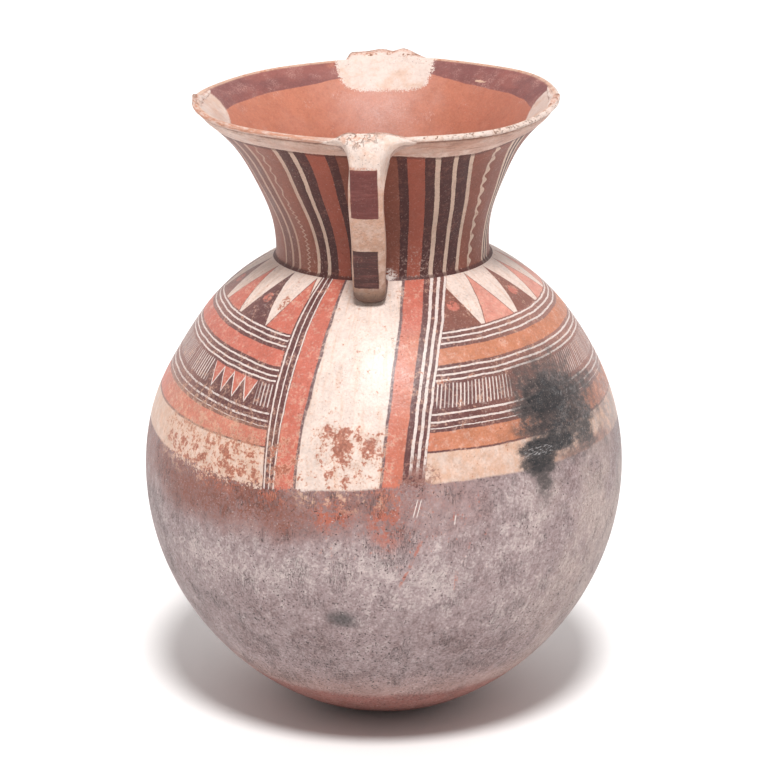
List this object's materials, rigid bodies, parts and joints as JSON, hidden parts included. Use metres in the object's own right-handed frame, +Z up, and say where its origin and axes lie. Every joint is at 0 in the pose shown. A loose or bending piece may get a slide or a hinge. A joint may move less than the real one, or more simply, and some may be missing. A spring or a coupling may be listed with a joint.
{
  "type": "water jar",
  "caption": "Round-bodied hand-built ceramic water jar with a flaring neck, pinched rim crests, strap handles and traditional painted geometric bands, for carrying and storing water.",
  "frame": {"origin": "centre of the flat spot that the jar stands on", "axes": "+Z up the jar's axis, front handle towards -Y, rear handle towards +Y, +X to the right"},
  "size_m": [0.294, 0.294, 0.3895],
  "materials": {
    "base_clay": "matt fired clay, reddish brown",
    "grey_slip": "burnished slip, grey-mauve with fire clouding",
    "painted_shoulder": "burnished red, cream and dark brown bands",
    "painted_neck": "burnished brown, red and cream bands",
    "cream_slip": "worn cream slip",
    "painted_handle": "cream slip with maroon-brown blocks"
  },
  "bodies": {
    "root": {"base_disc": "base_clay", "lower_bowl": "grey_slip", "shoulder": "painted_shoulder", "neck": "painted_neck", "rim_band": "cream_slip", "front_handle": "painted_handle", "rear_handle": "painted_handle", "front_crest": "cream_slip", "rear_crest": "cream_slip", "left_crest": "cream_slip", "right_crest": "cream_slip"}
  },
  "joints": []
}
